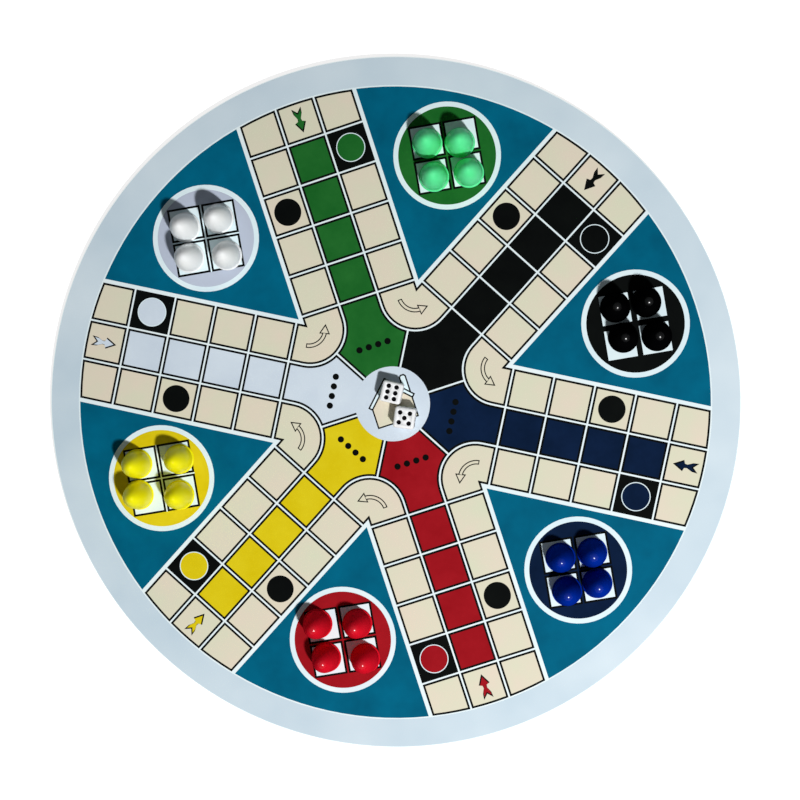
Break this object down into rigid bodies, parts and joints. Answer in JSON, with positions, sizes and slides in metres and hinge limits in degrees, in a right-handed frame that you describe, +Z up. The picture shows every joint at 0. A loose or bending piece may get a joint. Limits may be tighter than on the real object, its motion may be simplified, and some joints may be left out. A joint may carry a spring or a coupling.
{
  "type": "race game board",
  "caption": "Round flat race-game board with star-shaped arms and round yards, set out with its pawns and dice.",
  "frame": {"origin": "middle of the board's underside", "axes": "+Z up out of the printed face, +Y along the green player's arm"},
  "size_m": [0.35, 0.35, 0.0278],
  "materials": {
    "hardboard": "bare edge",
    "face_paper": "satin laminate",
    "back_paper": "matte",
    "ink_border": "satin print",
    "ink_teal": "satin print",
    "ink_black": "satin print",
    "ink_cream": "satin print",
    "ink_white": "satin print",
    "ink_pale": "satin print",
    "ink_green": "satin print",
    "ink_navy": "satin print",
    "ink_red": "satin print",
    "ink_yellow": "satin print",
    "green_plastic": "moulded gloss",
    "black_plastic": "moulded gloss",
    "blue_plastic": "moulded gloss",
    "red_plastic": "moulded gloss",
    "yellow_plastic": "moulded gloss",
    "white_plastic": "moulded gloss",
    "die_plastic": "moulded gloss",
    "pip_paint": "painted"
  },
  "bodies": {
    "board": {"board_core": "hardboard", "face_sheet": "face_paper", "back_sheet": "back_paper", "print_border": "ink_border", "print_teal": "ink_teal", "print_black": "ink_black", "print_cream": "ink_cream", "print_white": "ink_white", "print_pale": "ink_pale", "print_green": "ink_green", "print_navy": "ink_navy", "print_red": "ink_red", "print_yellow": "ink_yellow"},
    "pawn_green_1": {"pawn_green_1": "green_plastic"},
    "pawn_green_2": {"pawn_green_2": "green_plastic"},
    "pawn_green_3": {"pawn_green_3": "green_plastic"},
    "pawn_green_4": {"pawn_green_4": "green_plastic"},
    "pawn_black_1": {"pawn_black_1": "black_plastic"},
    "pawn_black_2": {"pawn_black_2": "black_plastic"},
    "pawn_black_3": {"pawn_black_3": "black_plastic"},
    "pawn_black_4": {"pawn_black_4": "black_plastic"},
    "pawn_blue_1": {"pawn_blue_1": "blue_plastic"},
    "pawn_blue_2": {"pawn_blue_2": "blue_plastic"},
    "pawn_blue_3": {"pawn_blue_3": "blue_plastic"},
    "pawn_blue_4": {"pawn_blue_4": "blue_plastic"},
    "pawn_red_1": {"pawn_red_1": "red_plastic"},
    "pawn_red_2": {"pawn_red_2": "red_plastic"},
    "pawn_red_3": {"pawn_red_3": "red_plastic"},
    "pawn_red_4": {"pawn_red_4": "red_plastic"},
    "pawn_yellow_1": {"pawn_yellow_1": "yellow_plastic"},
    "pawn_yellow_2": {"pawn_yellow_2": "yellow_plastic"},
    "pawn_yellow_3": {"pawn_yellow_3": "yellow_plastic"},
    "pawn_yellow_4": {"pawn_yellow_4": "yellow_plastic"},
    "pawn_white_1": {"pawn_white_1": "white_plastic"},
    "pawn_white_2": {"pawn_white_2": "white_plastic"},
    "pawn_white_3": {"pawn_white_3": "white_plastic"},
    "pawn_white_4": {"pawn_white_4": "white_plastic"},
    "die_1": {"die_1": "die_plastic", "die_1_pips": "pip_paint"},
    "die_2": {"die_2": "die_plastic", "die_2_pips": "pip_paint"}
  },
  "joints": [
    {"name": "lift_pawn_green_1", "type": "slide", "parent": "board", "child": "pawn_green_1", "axis": [0, 0, 1], "range_m": [0, 0.05]},
    {"name": "lift_pawn_green_2", "type": "slide", "parent": "board", "child": "pawn_green_2", "axis": [0, 0, 1], "range_m": [0, 0.05]},
    {"name": "lift_pawn_green_3", "type": "slide", "parent": "board", "child": "pawn_green_3", "axis": [0, 0, 1], "range_m": [0, 0.05]},
    {"name": "lift_pawn_green_4", "type": "slide", "parent": "board", "child": "pawn_green_4", "axis": [0, 0, 1], "range_m": [0, 0.05]},
    {"name": "lift_pawn_black_1", "type": "slide", "parent": "board", "child": "pawn_black_1", "axis": [0, 0, 1], "range_m": [0, 0.05]},
    {"name": "lift_pawn_black_2", "type": "slide", "parent": "board", "child": "pawn_black_2", "axis": [0, 0, 1], "range_m": [0, 0.05]},
    {"name": "lift_pawn_black_3", "type": "slide", "parent": "board", "child": "pawn_black_3", "axis": [0, 0, 1], "range_m": [0, 0.05]},
    {"name": "lift_pawn_black_4", "type": "slide", "parent": "board", "child": "pawn_black_4", "axis": [0, 0, 1], "range_m": [0, 0.05]},
    {"name": "lift_pawn_blue_1", "type": "slide", "parent": "board", "child": "pawn_blue_1", "axis": [0, 0, 1], "range_m": [0, 0.05]},
    {"name": "lift_pawn_blue_2", "type": "slide", "parent": "board", "child": "pawn_blue_2", "axis": [0, 0, 1], "range_m": [0, 0.05]},
    {"name": "lift_pawn_blue_3", "type": "slide", "parent": "board", "child": "pawn_blue_3", "axis": [0, 0, 1], "range_m": [0, 0.05]},
    {"name": "lift_pawn_blue_4", "type": "slide", "parent": "board", "child": "pawn_blue_4", "axis": [0, 0, 1], "range_m": [0, 0.05]},
    {"name": "lift_pawn_red_1", "type": "slide", "parent": "board", "child": "pawn_red_1", "axis": [0, 0, 1], "range_m": [0, 0.05]},
    {"name": "lift_pawn_red_2", "type": "slide", "parent": "board", "child": "pawn_red_2", "axis": [0, 0, 1], "range_m": [0, 0.05]},
    {"name": "lift_pawn_red_3", "type": "slide", "parent": "board", "child": "pawn_red_3", "axis": [0, 0, 1], "range_m": [0, 0.05]},
    {"name": "lift_pawn_red_4", "type": "slide", "parent": "board", "child": "pawn_red_4", "axis": [0, 0, 1], "range_m": [0, 0.05]},
    {"name": "lift_pawn_yellow_1", "type": "slide", "parent": "board", "child": "pawn_yellow_1", "axis": [0, 0, 1], "range_m": [0, 0.05]},
    {"name": "lift_pawn_yellow_2", "type": "slide", "parent": "board", "child": "pawn_yellow_2", "axis": [0, 0, 1], "range_m": [0, 0.05]},
    {"name": "lift_pawn_yellow_3", "type": "slide", "parent": "board", "child": "pawn_yellow_3", "axis": [0, 0, 1], "range_m": [0, 0.05]},
    {"name": "lift_pawn_yellow_4", "type": "slide", "parent": "board", "child": "pawn_yellow_4", "axis": [0, 0, 1], "range_m": [0, 0.05]},
    {"name": "lift_pawn_white_1", "type": "slide", "parent": "board", "child": "pawn_white_1", "axis": [0, 0, 1], "range_m": [0, 0.05]},
    {"name": "lift_pawn_white_2", "type": "slide", "parent": "board", "child": "pawn_white_2", "axis": [0, 0, 1], "range_m": [0, 0.05]},
    {"name": "lift_pawn_white_3", "type": "slide", "parent": "board", "child": "pawn_white_3", "axis": [0, 0, 1], "range_m": [0, 0.05]},
    {"name": "lift_pawn_white_4", "type": "slide", "parent": "board", "child": "pawn_white_4", "axis": [0, 0, 1], "range_m": [0, 0.05]},
    {"name": "lift_die_1", "type": "slide", "parent": "board", "child": "die_1", "axis": [0, 0, 1], "range_m": [0, 0.05]},
    {"name": "lift_die_2", "type": "slide", "parent": "board", "child": "die_2", "axis": [0, 0, 1], "range_m": [0, 0.05]}
  ]
}
